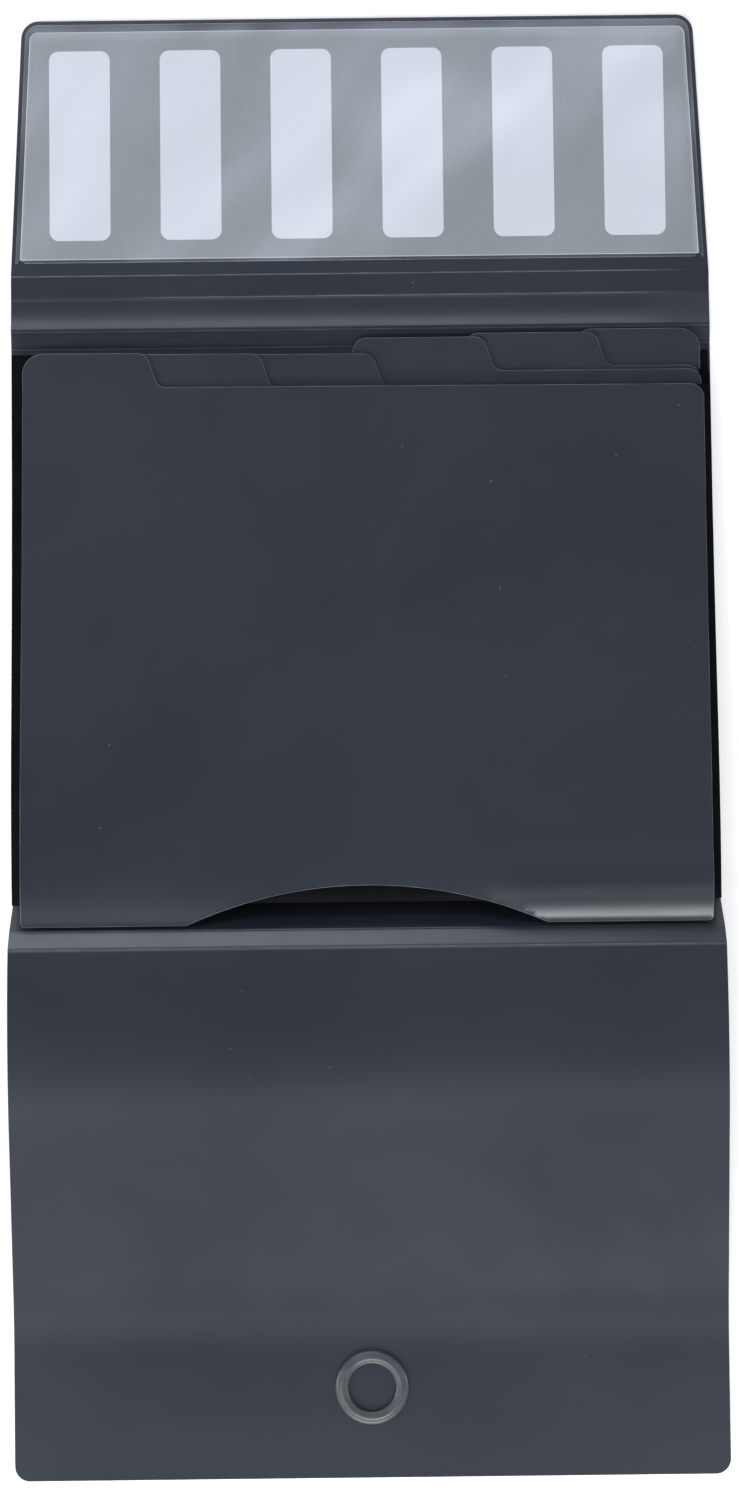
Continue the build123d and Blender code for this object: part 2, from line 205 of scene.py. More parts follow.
def strip(name, stations, wave=None, dent=None, whitening_and_highlight_across=None):
    """A strip of the cover. Each station is its place and outward direction in the YZ plane,
    its half width, how far each face is pressed in there, and how pale it is painted, partly
    as whitened plastic and partly as a painted highlight. wave shifts both faces, dent presses
    the inner one in, and the last function varies that paleness along the width."""
    columns = round(2 * cover_half_width / column_pitch)
    arc = rim_arc(cut_round)
    points = []
    whitening_and_highlight = []
    for place, outward, half, press, whitening_and_highlight_share in stations:
        flat_half = half - cut_round - cut_edge_band
        row = [-half + cut_round]
        row += [flat_half * (2 * column / columns - 1) for column in range(columns + 1)]
        row += [half - cut_round]
        sides = [edge_whitening_and_highlight] + [whitening_and_highlight_share] * (columns + 1) + [edge_whitening_and_highlight]
        under = cover_sheet - press
        rim = [(half - cut_round + out, press + down) for out, down in arc]
        rim += [(half - cut_round + out, under - down) for out, down in reversed(arc)]
        loop = [(x, press, side) for x, side in zip(row, sides)]
        # The rounded cut edge is painted fully pale: partly whitened plastic, partly a painted
        # highlight.
        loop += [(x, depth, 1.0) for x, depth in rim]
        loop += [(x, under, side) for x, side in zip(reversed(row), sides)]
        loop += [(-x, depth, 1.0) for x, depth in reversed(rim)]
        for x, depth, whitening_and_highlight_here in loop:
            if dent:
                depth += dent(x, place.x) * (1 - depth / cover_sheet)
            if wave:
                depth -= wave(x, place.x)
            if whitening_and_highlight_across:
                whitening_and_highlight_here *= whitening_and_highlight_across(x)
            points.append((x, place.x + outward.x * depth, place.y + outward.y * depth))
            whitening_and_highlight.append(whitening_and_highlight_here)
    around = len(points) // len(stations)
    faces = []
    for station in range(len(stations) - 1):
        first = station * around
        for step in range(around):
            after = (step + 1) % around
            faces.append(
                (first + step, first + after, first + around + after, first + around + step)
            )
    row_length = columns + 3
    caps = []
    for first, flip in ((0, True), ((len(stations) - 1) * around, False)):
        top = [first + step for step in range(row_length)]
        under = [first + row_length + 2 * len(arc) + step for step in range(row_length)][::-1]
        ends = [
            (top[step], top[step + 1], under[step + 1], under[step])
            for step in range(row_length - 1)
        ]
        right = [first + row_length + step for step in range(2 * len(arc))]
        ends.append((top[-1], *right, under[-1]))
        left = [first + 2 * row_length + 2 * len(arc) + step for step in range(2 * len(arc))]
        ends.append((under[0], *left, top[0]))
        for end in ends:
            caps.append(len(faces))
            faces.append(end if flip else end[::-1])
    return finish_mesh(name, points, faces, whitening_and_highlight, caps)


def stations_along(line, half_at=lambda y: cover_half_width):
    """Stations for a strip along a line of points in the YZ plane, half_at(y) wide each way."""
    stations = []
    for index, place in enumerate(line):
        before = line[max(index - 1, 0)]
        after = line[min(index + 1, len(line) - 1)]
        run = (after - before).normalized()
        stations.append((place, Vector((run.y, -run.x)), half_at(place.x), 0.0, 0.0))
    return stations


def straight(start, end, steps):
    """Evenly spaced points from start to end."""
    return [start.lerp(end, step / steps) for step in range(steps + 1)]


def between_creases(first, last):
    """The two ends of a panel, each short of its crease by what the crease itself takes up."""
    start = creases[first]
    end = creases[last]
    run = (end - start).normalized()
    return start + run * crease_reach, end - run * crease_reach


def wire(shader, colour, roughness, normal):
    """Links a finish's colour, roughness and normals to its main shader."""
    links = shader.id_data.links
    for key, source in (("Base Color", colour), ("Roughness", roughness), ("Normal", normal)):
        links.new(source, shader.inputs[key])


def add_node(tree, kind, settings=(), **inputs):
    """A shader node with its settings and its unlinked inputs."""
    made = tree.nodes.new(kind)
    for key, value in dict(settings).items():
        setattr(made, key, value)
    for key, value in inputs.items():
        made.inputs[key].default_value = value
    return made


def noise_at(tree, scale, detail, stretch=(1, 1, 1), roughness=0.5, turn_by=0.0):
    """A noise in the piece's own coordinates, in cycles a metre, turned and stretched."""
    spot = add_node(tree, "ShaderNodeTexCoord")
    turn = add_node(
        tree,
        "ShaderNodeMapping",
        {"vector_type": "TEXTURE"},
        Scale=[1 / share for share in stretch],
        Rotation=(0, 0, turn_by),
    )
    cloud = add_node(
        tree, "ShaderNodeTexNoise", Scale=scale, Detail=detail, Roughness=roughness
    )
    tree.links.new(spot.outputs["Object"], turn.inputs["Vector"])
    tree.links.new(turn.outputs["Vector"], cloud.inputs["Vector"])
    return cloud.outputs["Fac"]


def mapped(tree, source, span, onto):
    """Maps a value from one range onto another, smoothly and within its ends."""
    step = tree.nodes.new("ShaderNodeMapRange")
    step.interpolation_type = "SMOOTHSTEP"
    for key, value in zip(("From Min", "From Max", "To Min", "To Max"), (*span, *onto)):
        step.inputs[key].default_value = value
    tree.links.new(source, step.inputs["Value"])
    return step.outputs["Result"]


def mixed(tree, share, first, second):
    """A colour between two, each a socket or a plain colour. The mixing node keeps its two
    colours at sockets 6 and 7, and gives the result at 2."""
    mix = tree.nodes.new("ShaderNodeMix")
    mix.data_type = "RGBA"
    tree.links.new(share, mix.inputs["Factor"])
    for socket, colour in ((mix.inputs[6], first), (mix.inputs[7], second)):
        if isinstance(colour, tuple):
            socket.default_value = (*colour, 1)
        else:
            tree.links.new(colour, socket)
    return mix.outputs[2]


def whitening_and_highlight_at(tree):
    """How pale the piece is painted at each point, as its mesh says: at cut edges and creases,
    partly whitened plastic and partly a painted highlight.
    """
    return add_node(tree, "ShaderNodeAttribute", {"attribute_name": "whitening_and_highlight"}).outputs["Fac"]


def bumped(tree, height, distance, strength):
    """The normals of a surface that is raised by a height."""
    bump = add_node(tree, "ShaderNodeBump", Strength=strength, Distance=distance)
    tree.links.new(height, bump.inputs["Height"])
    return bump.outputs["Normal"]


# Nearly all of a noise lies within this span.
noise_span = (0.3, 0.7)
dust_colour = (0.3, 0.31, 0.33)
grain_height = 0.03 * mm
polypropylene_ior = 1.49


def slate_plastic(name, deep, pale, wear_and_highlight_colour, roughness):
    """Extruded polypropylene sheet: cloudy in tone, with a fine satin grain, faint rub marks
    along the sheet, a few specks of dust, and cut edges and creases painted paler, partly as
    whitened plastic and partly as a painted highlight."""
    finish, shader = new_finish(name)
    tree = finish.node_tree
    clouds = mapped(tree, noise_at(tree, 7, 3), noise_span, (0, 1))
    colour = mixed(tree, clouds, deep, pale)
    rubs = mapped(tree, noise_at(tree, 26, 5, (0.35, 9, 1), 0.62), (0.66, 0.80), (0, 0.09))
    colour = mixed(tree, rubs, colour, wear_and_highlight_colour)
    specks = mapped(tree, noise_at(tree, 420, 1), (0.80, 0.86), (0, 0.4))
    colour = mixed(tree, specks, colour, dust_colour)
    # Cut edges and crease lines are painted paler in patches: partly whitened plastic, partly a
    # painted highlight.
    patchy_whitening_and_highlight = mapped(tree, noise_at(tree, 60, 4), (0.35, 0.65), (0.35, 1))
    paled = add_node(tree, "ShaderNodeMath", {"operation": "MULTIPLY"})
    tree.links.new(whitening_and_highlight_at(tree), paled.inputs[0])
    tree.links.new(patchy_whitening_and_highlight, paled.inputs[1])
    colour = mixed(tree, paled.outputs[0], colour, wear_and_highlight_colour)
    rough = mapped(tree, noise_at(tree, 35, 4), noise_span, roughness)
    wire(shader, colour, rough, bumped(tree, noise_at(tree, 2600, 2), grain_height, 0.35))
    shader.inputs["IOR"].default_value = polypropylene_ior
    return finish


# The third colour paints the rub marks and the paler cut edges and creases, these partly as a
# painted highlight.
cover_plastic = slate_plastic(
    "cover_plastic", (0.020, 0.025, 0.036), (0.026, 0.032, 0.044), (0.13, 0.14, 0.16), (0.28, 0.31)
)


def cover_piece(piece, body, node):
    """Gives a cover strip its finish, and lets it stand for its node."""
    piece.data.materials.append(cover_plastic)
    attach(piece, body)
    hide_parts(node)


def cover_band(name, first, last, steps, wave=None):
    """A flat strip of the cover's full width between two of its creases."""
    line = straight(*between_creases(first, last), steps)
    return strip(name, stations_along(line), wave)


cover_piece(
    cover_band("back_sheet", "spine_lower_crease", "top_spine_crease_1", steps=50),
    "back",
    "back_panel",
)


# Bottom spine: two flat bands of the same sheet. While the file lies open, they stand as a
# ridge between the back panel and the front panel.

cover_piece(
    cover_band("lower_spine_sheet", "spine_upper_crease", "spine_lower_crease", steps=8),
    "spine_lower",
    "bottom_spine_lower",
)
cover_piece(
    cover_band("upper_spine_sheet", "front_panel_crease", "spine_upper_crease", steps=6),
    "spine_upper",
    "bottom_spine_upper",
)


# Front panel: the cover's large free panel. It humps over from the ridge and runs out
# flat on the table, and its two free corners are rounded.

front_lead = 3.0 * mm
front_start_rise = math.radians(8.0)
front_hump_radius = 228.0 * mm
front_fall = math.radians(12.8)
front_foot_radius = 140.0 * mm
front_foot_fall = math.radians(1.7)
front_foot_length = 59.0 * mm
front_corner_radius = 7.0 * mm
front_wave_length = 130 * mm
front_wave_height = 0.5 * mm
front_wave_seed = 3.1
ridge_fade = 25 * mm
edge_fade = 30 * mm
station_pitch = 4 * mm
corner_steps = 9
edge_lead = 0.02 * mm


def run_on(line, heading, length):
    """Adds a straight run to a line that is drawn away from the ridge."""
    start = line[-1]
    steps = max(2, round(length / station_pitch))
    for step in range(1, steps + 1):
        reach = length * step / steps
        line.append(start + Vector((-math.cos(heading), math.sin(heading))) * reach)


def bend_on(line, heading, turn, radius):
    """Adds an arc that turns the line's heading by an angle, down if the angle is negative."""
    start = line[-1]
    side = math.copysign(1, turn)
    centre = start + Vector((math.sin(heading), math.cos(heading))) * radius * side
    steps = max(4, round(abs(turn) * radius / station_pitch))
    for step in range(1, steps + 1):
        now = heading + turn * step / steps
        line.append(centre - Vector((math.sin(now), math.cos(now))) * radius * side)


front_crease = creases["front_panel_crease"]
falls = (
    front_hump_radius * (math.cos(front_start_rise) - math.cos(front_fall))
    + front_foot_radius * (math.cos(front_foot_fall) - math.cos(front_fall))
    + front_foot_length * math.sin(front_foot_fall)
    - front_lead * math.sin(front_start_rise)
)
front_drop = front_crease.y - cover_sheet * math.cos(front_foot_fall)
front_slope_length = (front_drop - falls) / math.sin(front_fall)

front_way = Vector((-math.cos(front_start_rise), math.sin(front_start_rise)))
front_line = [front_crease + front_way * crease_reach]
run_on(front_line, front_start_rise, front_lead - crease_reach)
bend_on(front_line, front_start_rise, -front_start_rise - front_fall, front_hump_radius)
run_on(front_line, -front_fall, front_slope_length)
bend_on(front_line, -front_fall, front_fall - front_foot_fall, front_foot_radius)
run_on(front_line, -front_foot_fall, front_foot_length)
front_line.reverse()


def with_free_end(stations, corner_radius, at_start):
    """Rounds a strip's free end: its two corners from above, and its cut edge."""
    end = 0 if at_start else -1
    place, outward, half = stations[end][:3]
    away = Vector((outward.y, -outward.x)) if at_start else Vector((-outward.y, outward.x))
    kept = [
        station
        for station in stations
        if (station[0] - place).dot(-away) > corner_radius + cut_edge_band
    ]
    rounded_end = []
    slope = (kept[0][2] - half) / (kept[0][0] - place).length
    for step in range(corner_steps):
        turn = math.radians(90 * step / corner_steps)
        back = corner_radius * (1 - math.sin(turn))
        narrow = corner_radius * (1 - math.cos(turn))
        rounded_end.append((back, narrow, 0.0, 0.0))
    # The free end's cut edge is painted fully pale: partly whitened plastic, partly a painted
    # highlight.
    for step in range(cut_round_steps + 1):
        turn = math.radians(90 * step / cut_round_steps)
        back = cut_round * (1 - math.sin(turn)) if step else cut_round + edge_lead
        inner = corner_radius * math.sqrt(max(1 - (1 - back / corner_radius) ** 2, 0))
        rounded_end.append((back, corner_radius - inner, cut_round * (1 - math.cos(turn)), 1.0))
    rounded_end.sort(key=lambda item: -item[0])
    made = [
        (place - away * back, outward, half + slope * back - narrow, press, whitening_and_highlight_share)
        for back, narrow, press, whitening_and_highlight_share in rounded_end
    ]
    if at_start:
        return made[::-1] + kept
    return kept + made


def front_wave(x, y):
    """The front panel's slow waves, which fade at the ridge and at the free edge."""
    fade = ease((front_crease.x - y) / ridge_fade) * ease((y - front_line[0].x) / edge_fade)
    return fade * ripple(x, y, front_wave_length, front_wave_height, front_wave_seed)


front_stations = with_free_end(stations_along(front_line), front_corner_radius, True)
cover_piece(strip("front_sheet", front_stations, front_wave), "front", "front_panel")


# Top spine: three narrow bands that wrap over the tabs when the file is shut. Lying open,
# the widest one sweeps up to the crease beside the tabs.

cover_piece(
    cover_band("top_spine_sheet_1", "top_spine_crease_1", "top_spine_crease_2", steps=4),
    "top_1",
    "top_spine_band_1",
)
swept_start, swept_end = between_creases("top_spine_crease_2", "top_spine_crease_3")
sag = 0.42 * mm
sag_level = 2.6
sweep_ebbs_from = 112 * mm
sweep_ebb_length = 45 * mm
sweep_ebb = 0.75


def sweep(x, y):
    """The middle band's hollow: flat beside the middle crease and steep beside the tabs. It
    ebbs towards the right end. sag_level brings the deepest place to 1."""
    share = (swept_end.x - y) / (swept_end.x - swept_start.x)
    even = 1 - sweep_ebb * ease((x - sweep_ebbs_from) / sweep_ebb_length)
    return -sag * even * share * (1 - share**2) * sag_level


swept_sheet = cover_band(
    "top_spine_sheet_2", "top_spine_crease_2", "top_spine_crease_3", steps=20, wave=sweep
)
cover_piece(swept_sheet, "top_2", "top_spine_band_2")
cover_piece(
    cover_band("top_spine_sheet_3", "top_spine_crease_3", "flap_crease", steps=5),
    "top_3",
    "top_spine_band_3",
)


# Flap: the other free end of the same sheet. It narrows a little towards its rounded tip,
# and its inner face carries the label pouch.

flap_corner_radius = 8.0 * mm
flap_tip_half_width = 159.3 * mm
flap_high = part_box("flap")[1]
flap_start = creases["flap_crease"]
flap_tip = Vector((flap_high.y, flap_high.z))
flap_face = flap_high.z


def flap_half_width(y):
    """Half the flap's width at a place along it."""
    share = (y - flap_start.x) / (flap_tip.x - flap_start.x)
    return cover_half_width + share * (flap_tip_half_width - cover_half_width)


flap_line = straight(flap_start + Vector((crease_reach, 0)), flap_tip, steps=30)
flap_stations = stations_along(flap_line, flap_half_width)
flap_sheet = strip("flap_sheet", with_free_end(flap_stations, flap_corner_radius, False))
cover_piece(flap_sheet, "flap", "flap")


# Creases: where a hot bar has pressed the sheet thin it folds for life. The press leaves a
# shallow groove and a paler line, partly stretched plastic and partly a painted highlight.

crease_steps = 22
groove_depth = 0.07 * mm
groove_half_width = 0.25 * mm
groove_end_share = 0.1
run_out = 40 * mm
# Where the pale lines of the middle and flap creases, partly a painted highlight, are clear.
middle_line_ends = (-75 * mm, 118 * mm)
flap_line_ends = (-165 * mm, 125 * mm)


def crease(before, after, from_way, to_way, name, joint, paleness, widths, clear_ends):
    """The sheet from the end of one panel over a crease to the start of the next. Its pale
    line, partly whitened plastic and partly a painted highlight, is clear between two places
    and fades past them."""
    middle = creases[joint]

    def clear(x):
        from_left = ease((x - clear_ends[0]) / run_out + 1)
        return from_left * ease((clear_ends[1] - x) / run_out + 1)

    def groove(x, y):
        off_centre = (y - middle.x) / groove_half_width
        depth = groove_depth * (groove_end_share + (1 - groove_end_share) * clear(x))
        return depth * math.exp(-(off_centre**2))

    start = middle - from_way * crease_reach
    end = middle + to_way * crease_reach
    stations = []
    for step in range(crease_steps + 1):
        share = step / crease_steps
        place = start.lerp(middle, share).lerp(middle.lerp(end, share), share)
        run = (middle - start).lerp(end - middle, share).normalized()
        off_centre = (2 * share - 1) * crease_reach
        # The pale line down the crease is painted: partly whitened plastic, partly a painted
        # highlight.
        pale = paleness * math.exp(-((off_centre / groove_half_width) ** 2))
        half = widths[0] + share * (widths[1] - widths[0])
        stations.append((place, Vector((run.y, -run.x)), half, 0.0, pale))
    web = strip(name, stations, None, groove, clear)
    web.data.materials.append(cover_plastic)
    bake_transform(web)


def way(start, end):
    """The direction from one crease to another."""
    return (creases[end] - creases[start]).normalized()


level = Vector((1, 0))
panels = (
    ("front", -front_way),
    ("spine_upper", way("front_panel_crease", "spine_upper_crease")),
    ("spine_lower", way("spine_upper_crease", "spine_lower_crease")),
    ("back", level),
    ("top_1", way("top_spine_crease_1", "top_spine_crease_2")),
    ("top_2", way("top_spine_crease_2", "top_spine_crease_3")),
    ("top_3", way("top_spine_crease_3", "flap_crease")),
    ("flap", level),
)
full = (cover_half_width, cover_half_width)
whole = (-cover_half_width, cover_half_width)
flap_root = (cover_half_width, flap_half_width(flap_start.x + crease_reach))
# Columns: crease piece, its joint, how pale its line is painted (partly a painted highlight), its
# half widths at each end, and where its pale line is clear.
pressed_lines = (
    ("ridge_crease", "front_panel_crease", 0.8, full, whole),
    ("spine_crease", "spine_upper_crease", 0.6, full, whole),
    ("back_crease_low", "spine_lower_crease", 0.5, full, whole),
    ("back_crease_high", "top_spine_crease_1", 0.5, full, whole),
    ("tab_crease", "top_spine_crease_2", 0.6, full, whole),
    ("middle_crease", "top_spine_crease_3", 0.8, full, middle_line_ends),
    ("flap_root_crease", "flap_crease", 0.9, flap_root, flap_line_ends),
)
for (before, from_way), (after, to_way), pressed in zip(panels, panels[1:], pressed_lines):
    crease(before, after, from_way, to_way, *pressed)


# Closure: a moulded grey ring on the front panel's inner face, with a softly crowned top,
# and the round stud on the flap's outer face that it presses over. Both are heat-staked.

ring_outer_radius = 17.0 * mm
ring_inner_radius = 11.0 * mm
ring_height = 2.8 * mm
ring_from_free_edge = 41.5 * mm
outer_lip = 1.7 * mm
inner_lip = 1.1 * mm
crown = 0.4 * mm
crown_steps = 8
lathe_steps = 128


def turned(name, profile, centre, lean, body, node, finish):
    """A round moulding: a closed profile of radius and height, turned about an axis that
    leans in the YZ plane."""
    points = []
    faces = []
    for step in range(lathe_steps):
        angle = 2 * math.pi * step / lathe_steps
        for radius, height in profile:
            flat_y = radius * math.sin(angle)
            points.append(
                (
                    radius * math.cos(angle),
                    centre.x + flat_y * math.cos(lean) - height * math.sin(lean),
                    centre.y + flat_y * math.sin(lean) + height * math.cos(lean),
                )
            )
    count = len(profile)
    for step in range(lathe_steps):
        here = step * count
        there = (step + 1) % lathe_steps * count
        for corner in range(count):
            after = (corner + 1) % count
            faces.append((here + corner, there + corner, there + after, here + after))
    piece = finish_mesh(name, points, faces, [0.0] * len(points))
    piece.data.materials.append(finish)
    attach(piece, body)
    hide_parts(node)


def quarter(centre, radius, start, end, steps=7):
    """An arc of a turned profile."""
    arc = []
    for step in range(steps + 1):
        angle = math.radians(start + (end - start) * step / steps)
        arc.append((centre[0] + radius * math.cos(angle), centre[1] + radius * math.sin(angle)))
    return arc


def moulded_grey(name):
    """Injection-moulded grey plastic, slightly milky, with faint flow marks."""
    finish, shader = new_finish(name)
    tree = finish.node_tree
    flow = mapped(tree, noise_at(tree, 90, 4, (1, 2.5, 1)), noise_span, (0, 1))
    colour = mixed(tree, flow, (0.060, 0.069, 0.076), (0.078, 0.088, 0.096))
    rough = mapped(tree, noise_at(tree, 240, 3), noise_span, (0.28, 0.36))
    wire(shader, colour, rough, bumped(tree, noise_at(tree, 900, 2), grain_height, 0.3))
    return finish


closure_grey = moulded_grey("closure_grey")
foot_way = Vector((math.cos(front_foot_fall), math.sin(front_foot_fall)))
ring_seat = front_line[0] + foot_way * ring_from_free_edge
lip_height = ring_height - crown
ring_profile = [(ring_inner_radius, 0.0)]
ring_profile += quarter(
    (ring_inner_radius + inner_lip, lip_height - inner_lip), inner_lip, 180, 90
)
for step in range(1, crown_steps):
    share = step / crown_steps
    radius = ring_inner_radius + inner_lip + share * (
        ring_outer_radius - outer_lip - ring_inner_radius - inner_lip
    )
    ring_profile.append((radius, lip_height + crown * math.sin(math.pi * share) ** 2))
ring_profile += quarter((ring_outer_radius - outer_lip, lip_height - outer_lip), outer_lip, 90, 0)
ring_profile += [(ring_outer_radius, 0.0)]
ring_profile.reverse()
turned(
    "front_ring", ring_profile, ring_seat, front_foot_fall, "front", "closure_ring", closure_grey
)

stud_low, stud_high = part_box("closure_stud")
stud_radius = (stud_high.y - stud_low.y) / 2
stud_thickness = stud_high.z
stud_centre = Vector(((stud_low.y + stud_high.y) / 2, 0.0))
stud_round = 0.4 * mm
stud_recess_radius = 7.0 * mm
stud_recess = 0.35 * mm
stud_eye = 0.02 * mm
stud_profile = [(stud_eye, stud_recess), (stud_recess_radius - stud_recess, stud_recess)]
stud_profile += quarter((stud_recess_radius, stud_recess), stud_recess, 180, 270)[1:]
stud_profile += quarter((stud_radius - stud_round, stud_round), stud_round, 270, 360)
stud_profile += [(stud_radius, stud_thickness), (stud_eye, stud_thickness)]
turned("flap_stud", stud_profile, stud_centre, 0.0, "flap", "closure_stud", closure_grey)


# Dividers: six sheets cut from half-millimetre polypropylene, each with a tab and a thumb
# arch in its lower edge. They lie in a leaning, gently humped stack. Divider 1 is in front.

divider_sheet = 0.5 * mm
divider_count = 6
divider_corner_radius = 6.5 * mm
divider_foot_radius = 2.0 * mm
tab_height = 16.2 * mm
tab_width = 65.0 * mm
tab_pitch = 53.0 * mm
tab_shift = 1.2 * mm
tab_slope = 5.2 * mm
tab_top_radius = 6.3 * mm
tab_root_radius = 5.3 * mm
tab_end_radius = 9.5 * mm
arch_width = 166.5 * mm
arch_height = 17.9 * mm
arch_steps = 56
knot_gap = 6 * mm
sheet_grid = 5 * mm
downward = -0.8
place_digits = 4
corner_step_degrees = 9
longest_mitre = 2.0
merge_within = 1e-7


def lie_of(node):
    """The height of a CAD sheet's underside at any y, as a smooth line through its corners."""
    mesh = frame["nodes"][node].data
    under = {}
    for polygon in mesh.polygons:
        if polygon.normal.z < downward:
            for corner in polygon.vertices:
                point = mesh.vertices[corner].co
                under[round(point.y, place_digits)] = point.z
    places = sorted(under)
    knots = [places[0]]
    for y in places:
        if y - knots[-1] > knot_gap and places[-1] - y > knot_gap:
            knots.append(y)
    knots.append(places[-1])
    heights = [under[y] for y in knots]
    spans = [end - start for start, end in zip(knots, knots[1:])]
    chords = [(end - start) / span for start, end, span in zip(heights, heights[1:], spans)]
    slopes = [chords[0]]
    for index in range(1, len(spans)):
        before = spans[index - 1]
        after = spans[index]
        slopes.append((chords[index - 1] * after + chords[index] * before) / (before + after))
    slopes.append(chords[-1])

    def height(y):
        y = min(max(y, knots[0]), knots[-1])
        index = 0
        while index < len(spans) - 1 and y > knots[index + 1]:
            index += 1
        span = spans[index]
        share = (y - knots[index]) / span
        return (
            (1 + 2 * share) * (1 - share) ** 2 * heights[index]
            + share * (1 - share) ** 2 * span * slopes[index]
            + share**2 * (3 - 2 * share) * heights[index + 1]
            - share**2 * (1 - share) * span * slopes[index + 1]
        )

    return height


def rounded_outline(corners):
    """An outline with each corner rounded by its own radius, anticlockwise from above."""
    outline = []
    count = len(corners)
    for index, (x, y, radius) in enumerate(corners):
        corner = Vector((x, y))
        back = (Vector(corners[index - 1][:2]) - corner).normalized()
        on = (Vector(corners[(index + 1) % count][:2]) - corner).normalized()
        if radius == 0:
            outline.append(corner)
            continue
        opening = back.angle(on)
        reach = radius / math.tan(opening / 2)
        start = corner + back * reach
        end = corner + on * reach
        centre = corner + (back + on).normalized() * radius / math.sin(opening / 2)
        turn = math.pi - opening
        steps = max(2, round(math.degrees(turn) / corner_step_degrees))
        first = start - centre
        sign = math.copysign(1, first.cross(end - centre))
        for step in range(steps + 1):
            angle = sign * turn * step / steps
            x = first.x * math.cos(angle) - first.y * math.sin(angle)
            y = first.x * math.sin(angle) + first.y * math.cos(angle)
            outline.append(centre + Vector((x, y)))
    return outline


def even_sided(right_side):
    """A rounded outline from the corners of its right side, with its left side alike."""
    left_side = [(-x, y, radius) for x, y, radius in reversed(right_side)]
    return rounded_outline(right_side + left_side)


def outward_of(loop):
    """The outward direction at each point of an anticlockwise loop, longer at a corner."""
    outward = []
    for index, point in enumerate(loop):
        before = (point - loop[index - 1]).normalized()
        after = (loop[(index + 1) % len(loop)] - point).normalized()
        side = Vector((before.y + after.y, -before.x - after.x)).normalized()
        stretch = 1 / max(side.dot(Vector((before.y, -before.x))), 1 / longest_mitre)
        outward.append(side * stretch)
    return outward


def cut_sheet(
    name, outline, thickness, lift, grid=sheet_grid, round_by=cut_round, band=cut_edge_band
):
    """A piece cut from sheet: two faces that follow lift(x, y) and a rounded cut edge, painted
    pale as partly whitened plastic and partly a painted highlight.
    """
    inset = round_by + band
    inner = [point - side * inset for point, side in zip(outline, outward_of(outline))]
    flat = bmesh.new()
    flat.faces.new([flat.verts.new((point.x, point.y, 0)) for point in inner])
    for axis in (0, 1):
        low = min(point[axis] for point in inner)
        high = max(point[axis] for point in inner)
        count = max(2, round((high - low) / grid))
        across = Vector((1 - axis, axis, 0))
        for step in range(1, count):
            place = across * (low + (high - low) * step / count)
            sheet = flat.verts[:] + flat.edges[:] + flat.faces[:]
            bmesh.ops.bisect_plane(
                flat, geom=sheet, dist=merge_within, plane_co=place, plane_no=across
            )
    flat.normal_update()
    for face in flat.faces:
        if face.normal.z < 0:
            face.normal_flip()
    flat.verts.index_update()
    ahead = {}
    for edge in flat.edges:
        if len(edge.link_loops) == 1:
            loop = edge.link_loops[0]
            ahead[loop.vert.index] = loop.link_loop_next.vert.index
    order = [next(iter(ahead))]
    while ahead[order[-1]] != order[0]:
        order.append(ahead[order[-1]])
    flat_points = [Vector((vert.co.x, vert.co.y)) for vert in flat.verts]
    border = [flat_points[index] for index in order]
    sides = outward_of(border)
    faces = [tuple(vert.index for vert in face.verts) for face in flat.faces]
    flat.free()
    points = [(point.x, point.y, lift(point.x, point.y) + thickness) for point in flat_points]
    whitening_and_highlight = [0.0] * len(points)
    rings = [order]
    arc = [(0.0, 0.0), *rim_arc(round_by)]
    levels = [(band + out, thickness - down) for out, down in arc]
    levels += [(band + out, down) for out, down in reversed(arc)]
    # The rounded cut edge is painted fully pale: partly whitened plastic, partly a painted
    # highlight.
    for out, height in levels:
        ring = []
        for point, side in zip(border, sides):
            ring.append(len(points))
            spot = point + side * out
            points.append((spot.x, spot.y, lift(point.x, point.y) + height))
            whitening_and_highlight.append(1.0)
        rings.append(ring)
    under_first = len(points)
    points += [(point.x, point.y, lift(point.x, point.y)) for point in flat_points]
    whitening_and_highlight += [0.0] * len(flat_points)
    rings.append([under_first + index for index in order])
    rim = []
    for upper, lower in zip(rings, rings[1:]):
        for step in range(len(order)):
            after = (step + 1) % len(order)
            rim.append((upper[after], upper[step], lower[step], lower[after]))
    underside = [tuple(under_first + index for index in reversed(face)) for face in faces]
    return finish_mesh(name, points, faces + rim + underside, whitening_and_highlight)


def divider_corners(number, low, top, half):
    """A divider's outline from above."""
    shoulder = top - tab_height
    middle = (number - (divider_count + 1) / 2) * tab_pitch + tab_shift
    arch_radius = (arch_width**2 / 4 + arch_height**2) / (2 * arch_height)
    arch_sweep = math.asin(arch_width / 2 / arch_radius)
    corners = [(-half, low, divider_foot_radius)]
    for step in range(arch_steps + 1):
        angle = arch_sweep * (2 * step / arch_steps - 1)
        x = arch_radius * math.sin(angle)
        y = low + arch_height - arch_radius * (1 - math.cos(angle))
        corners.append((x, y, 0))
    corners.append((half, low, divider_foot_radius))

    def beside_tab(side):
        """The corners from one side edge up to the tab's top."""
        root = middle + side * (tab_width + tab_slope) / 2
        if side * root > half:
            return [(side * half, top, tab_end_radius)]
        return [
            (side * half, shoulder, divider_corner_radius),
            (root, shoulder, tab_root_radius),
            (root - side * tab_slope, top, tab_top_radius),
        ]

    return corners + beside_tab(1) + beside_tab(-1)[::-1]


# The third colour paints the rub marks and the paler cut edges, these partly as a painted
# highlight.
divider_plastic = slate_plastic(
    "divider_plastic",
    (0.021, 0.026, 0.036),
    (0.027, 0.033, 0.044),
    (0.12, 0.13, 0.15),
    (0.28, 0.32),
)
lies = {number: lie_of(f"divider_{number}") for number in range(1, divider_count + 1)}

